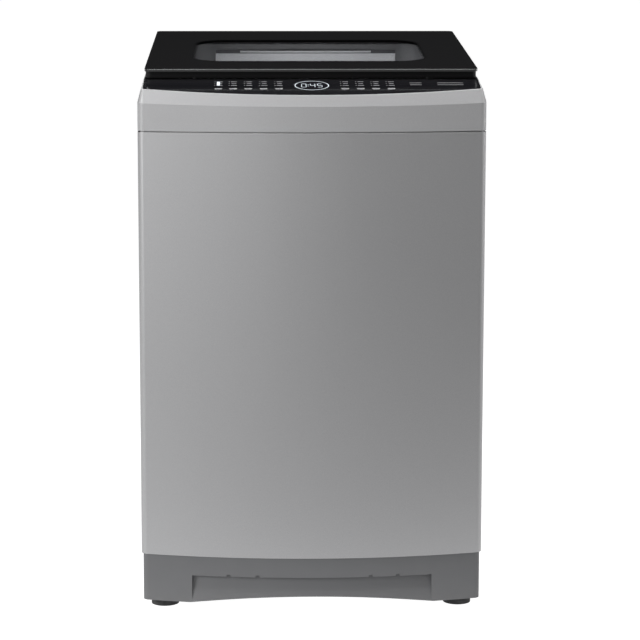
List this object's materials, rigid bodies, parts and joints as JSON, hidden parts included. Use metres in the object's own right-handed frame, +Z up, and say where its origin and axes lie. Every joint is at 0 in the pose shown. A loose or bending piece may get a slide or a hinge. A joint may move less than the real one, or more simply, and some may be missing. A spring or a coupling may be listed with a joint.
{
  "type": "top load washing machine",
  "caption": "Free-standing top loading clothes washer with a hinged smoked glass lid, sloping touch console, hanging wash tub, spinning basket and wash plate.",
  "frame": {"origin": "centre of the outline, on the floor the machine stands on", "axes": "+Z up, -Y out of the front with the console, +X to the right seen from the front"},
  "size_m": [0.59, 0.62, 0.9857],
  "materials": {
    "cabinet_paint": "silver grey satin paint",
    "back_steel": "galvanised sheet",
    "steel_parts": "zinc plated steel",
    "basket_steel": "brushed stainless drum",
    "cover_silver": "silver grey moulded plastic",
    "base_grey": "dark grey moulded plastic",
    "deck_dark": "dark inner collar",
    "console_black": "glossy black console",
    "display_clear": "smoked display window",
    "key_black": "glossy black key",
    "lid_glass": "smoked glass with black border",
    "frame_black": "black moulded lid frame",
    "rubber_black": "black rubber",
    "drawer_grey": "pale grey moulded plastic",
    "tub_plastic": "off-white moulded plastic",
    "pulsator_plastic": "pale grey moulded plastic",
    "white_fittings": "white moulded fittings",
    "board_green": "circuit board",
    "case_aluminium": "die cast case"
  },
  "bodies": {
    "cabinet": {"cabinet_shell": "cabinet_paint", "rear_panel": "back_steel", "panel_screws": "steel_parts", "corner_plates": "steel_parts", "base_frame": "base_grey", "foot_locknuts": "steel_parts", "rear_feet": "rubber_black", "top_cover": "cover_silver", "deck_funnel": "deck_dark", "console_fascia": "console_black", "display_window": "display_clear", "control_board": "board_green", "hinge_brackets": "steel_parts", "hinge_pins": "steel_parts", "dispenser_housing": "white_fittings", "inlet_valve": "white_fittings", "inlet_hose": "rubber_black", "suspension_rods": "steel_parts", "rod_seats": "white_fittings", "rod_caps": "white_fittings", "suspension_springs": "steel_parts", "drain_pump": "white_fittings", "sump_hose": "rubber_black", "drain_hose": "rubber_black", "drain_outlet": "white_fittings", "cord_gland": "rubber_black", "pressure_sensor": "white_fittings", "pressure_tube": "rubber_black"},
    "lid": {"lid_glass": "lid_glass", "lid_frame": "frame_black", "lid_bumpers": "rubber_black"},
    "tub": {"outer_tub": "tub_plastic", "tub_ring": "tub_plastic", "tub_bracket": "steel_parts", "gearcase": "case_aluminium", "shaft_seal": "rubber_black", "motor_body": "steel_parts", "drive_belt": "rubber_black", "suspension_cups": "white_fittings"},
    "basket": {"wash_basket": "basket_steel", "basket_base": "pulsator_plastic", "balance_ring": "pulsator_plastic", "spin_tube": "steel_parts"},
    "agitator": {"pulsator": "pulsator_plastic", "pulsator_cap": "pulsator_plastic", "drive_shaft": "steel_parts", "drive_pulley": "case_aluminium"},
    "motor_rotor": {"motor_pulley": "case_aluminium"},
    "drawer": {"detergent_drawer": "drawer_grey"},
    "left_foot": {"front_foot_left": "rubber_black"},
    "right_foot": {"front_foot_right": "rubber_black"},
    "key_1": {"key_1": "key_black"},
    "key_2": {"key_2": "key_black"},
    "key_3": {"key_3": "key_black"},
    "key_4": {"key_4": "key_black"},
    "key_5": {"key_5": "key_black"},
    "key_6": {"key_6": "key_black"},
    "key_7": {"key_7": "key_black"},
    "key_8": {"key_8": "key_black"},
    "key_9": {"key_9": "key_black"}
  },
  "joints": [
    {"name": "lid_hinge", "type": "hinge", "parent": "cabinet", "child": "lid", "pos_m": [0, 0.27862, 0.97046], "axis": [-1, 0, 0], "range_deg": [0, 95]},
    {"name": "tub_bounce", "type": "slide", "parent": "cabinet", "child": "tub", "axis": [0, 0, 1], "range_m": [-0.03, 0.015], "stiffness_N_per_m": 9000, "springref_m": 0.03, "deforming": ["suspension_springs", "sump_hose", "pressure_tube"]},
    {"name": "basket_spin", "type": "hinge", "parent": "tub", "child": "basket", "pos_m": [0, 0.01, 0.336], "axis": [0, 0, 1], "continuous": true},
    {"name": "agitator_spin", "type": "hinge", "parent": "tub", "child": "agitator", "pos_m": [0, 0.01, 0.336], "axis": [0, 0, 1], "continuous": true},
    {"name": "motor_spin", "type": "hinge", "parent": "tub", "child": "motor_rotor", "pos_m": [0.175, 0.01, 0.191], "axis": [0, 0, 1], "continuous": true},
    {"name": "drawer_slide", "type": "slide", "parent": "cabinet", "child": "drawer", "axis": [0, -1, 0], "range_m": [0, 0.045]},
    {"name": "left_foot_level", "type": "slide", "parent": "cabinet", "child": "left_foot", "axis": [0, 0, -1], "range_m": [-0.006, 0.012]},
    {"name": "right_foot_level", "type": "slide", "parent": "cabinet", "child": "right_foot", "axis": [0, 0, -1], "range_m": [-0.006, 0.012]},
    {"name": "key_1_press", "type": "slide", "parent": "cabinet", "child": "key_1", "axis": [0, 0.2164, -0.9763], "range_m": [0, 0.001], "stiffness_N_per_m": 1500, "springref_m": -0.0004},
    {"name": "key_2_press", "type": "slide", "parent": "cabinet", "child": "key_2", "axis": [0, 0.2164, -0.9763], "range_m": [0, 0.001], "stiffness_N_per_m": 1500, "springref_m": -0.0004},
    {"name": "key_3_press", "type": "slide", "parent": "cabinet", "child": "key_3", "axis": [0, 0.2164, -0.9763], "range_m": [0, 0.001], "stiffness_N_per_m": 1500, "springref_m": -0.0004},
    {"name": "key_4_press", "type": "slide", "parent": "cabinet", "child": "key_4", "axis": [0, 0.2164, -0.9763], "range_m": [0, 0.001], "stiffness_N_per_m": 1500, "springref_m": -0.0004},
    {"name": "key_5_press", "type": "slide", "parent": "cabinet", "child": "key_5", "axis": [0, 0.2164, -0.9763], "range_m": [0, 0.001], "stiffness_N_per_m": 1500, "springref_m": -0.0004},
    {"name": "key_6_press", "type": "slide", "parent": "cabinet", "child": "key_6", "axis": [0, 0.2164, -0.9763], "range_m": [0, 0.001], "stiffness_N_per_m": 1500, "springref_m": -0.0004},
    {"name": "key_7_press", "type": "slide", "parent": "cabinet", "child": "key_7", "axis": [0, 0.2164, -0.9763], "range_m": [0, 0.001], "stiffness_N_per_m": 1500, "springref_m": -0.0004},
    {"name": "key_8_press", "type": "slide", "parent": "cabinet", "child": "key_8", "axis": [0, 0.2164, -0.9763], "range_m": [0, 0.001], "stiffness_N_per_m": 1500, "springref_m": -0.0004},
    {"name": "key_9_press", "type": "slide", "parent": "cabinet", "child": "key_9", "axis": [0, 0.2164, -0.9763], "range_m": [0, 0.001], "stiffness_N_per_m": 1500, "springref_m": -0.0004}
  ],
  "couplings": [
    {"joint": "motor_spin", "follows": "agitator_spin", "ratio": 3.6906}
  ]
}
